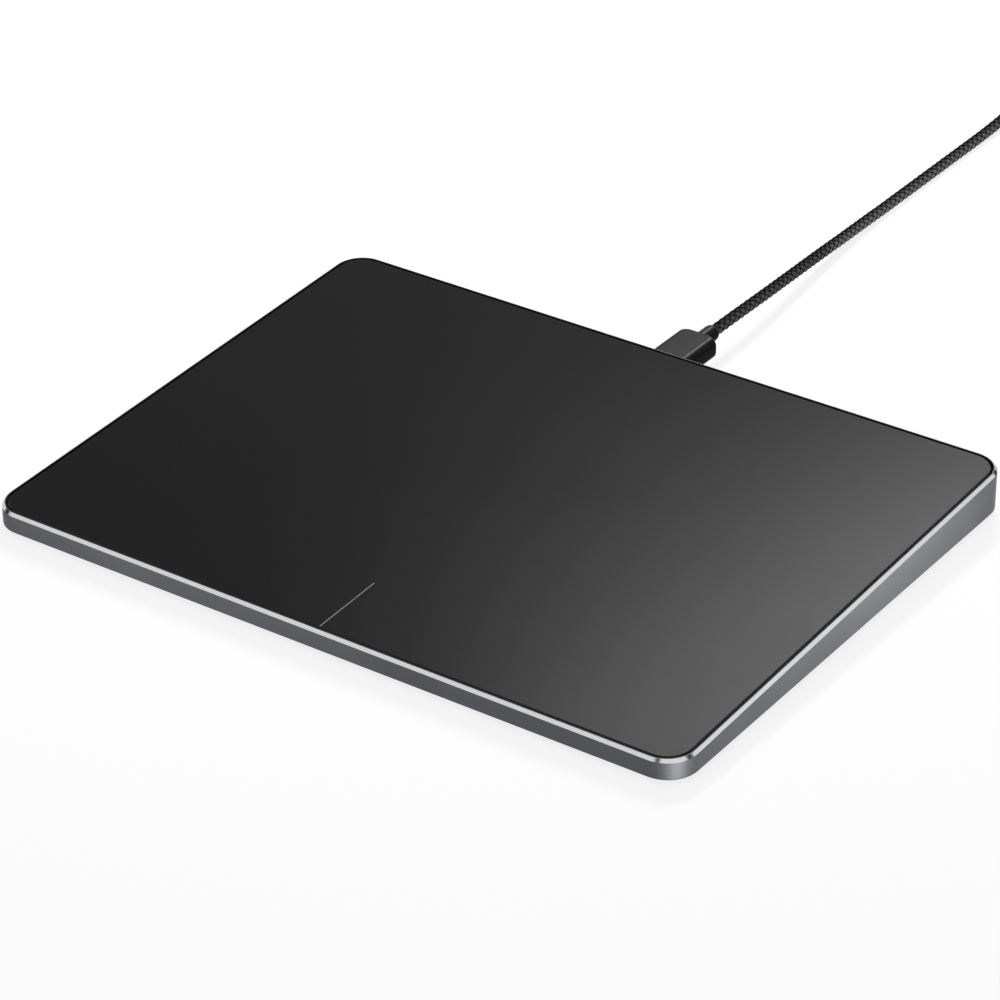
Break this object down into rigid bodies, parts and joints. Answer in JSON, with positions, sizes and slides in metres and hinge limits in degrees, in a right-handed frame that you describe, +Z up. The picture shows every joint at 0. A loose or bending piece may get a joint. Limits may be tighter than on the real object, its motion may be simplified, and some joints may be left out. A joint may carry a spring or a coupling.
{
  "type": "wired trackpad",
  "caption": "Wedge-shaped aluminium desk trackpad with a black glass plate that clicks, and a braided cable with a plug at each end.",
  "frame": {"origin": "on the desk, under the middle of the housing's footprint", "axes": "+X to the user's right along the width, +Y away from the user towards the cable port, +Z up"},
  "size_m": [0.1771, 0.3124, 0.0133],
  "materials": {
    "anodised_aluminium": "fine blasted dark grey anodised, with a bright cut chamfer round the deck",
    "black_glass": "etched matte black glass with a polished bevel",
    "line_ink": "thin printed ink",
    "bond_film": "adhesive film",
    "circuit_board": "green solder mask",
    "sheet_steel": "stamped stainless sheet",
    "chip_plastic": "moulded black resin",
    "small_parts": "fired ceramic with tinned ends",
    "connector_plastic": "moulded ivory plastic",
    "plunger_plastic": "moulded red plastic",
    "ribbon_film": "thin laminated film",
    "cover_plastic": "fine textured black plastic",
    "foot_rubber": "matte rubber",
    "black_screw": "blackened steel",
    "bright_screw": "plated steel",
    "plated_steel": "nickel plated sheet steel",
    "plug_plastic": "satin moulded plastic",
    "braid": "woven black braid",
    "tie_fabric": "black hook and loop strap"
  },
  "bodies": {
    "base": {"housing": "anodised_aluminium", "bottom_cover": "cover_plastic", "rubber_feet": "foot_rubber", "cover_screws": "black_screw", "switch_plunger": "plunger_plastic", "hinge_leaves": "sheet_steel", "hinge_screws": "black_screw", "main_board": "circuit_board", "board_screws": "bright_screw", "control_chip": "chip_plastic", "board_parts": "small_parts", "board_connector": "connector_plastic", "ribbon_cable": "ribbon_film", "usb_port": "plated_steel", "port_tongue": "chip_plastic"},
    "pad": {"touch_glass": "black_glass", "divider_line": "line_ink", "bond_film": "bond_film", "sensor_board": "circuit_board", "pad_carrier": "sheet_steel", "touch_chip": "chip_plastic", "sensor_parts": "small_parts", "sensor_connector": "connector_plastic", "switch_case": "chip_plastic", "carrier_screws": "black_screw"},
    "cable": {"plug_shell": "plated_steel", "plug_body": "plug_plastic", "plug_collar": "plug_plastic", "cord_run": "braid", "cord_coil": "braid", "coil_ties": "tie_fabric", "cord_tail": "braid", "end_collar": "plug_plastic", "end_body": "plug_plastic", "end_shell": "plated_steel", "end_tongue": "connector_plastic"}
  },
  "joints": [
    {"name": "pad_click", "type": "hinge", "parent": "base", "child": "pad", "pos_m": [0, 0.05296, 0.00704], "axis": [1, 0, 0], "range_deg": [0, 0.144], "stiffness_Nm_per_rad": 20, "springref_deg": -0.19, "deforming": ["hinge_leaves"]},
    {"name": "plug_pull", "type": "slide", "parent": "base", "child": "cable", "axis": [0, 1, 0], "range_m": [0, 0.012]}
  ]
}
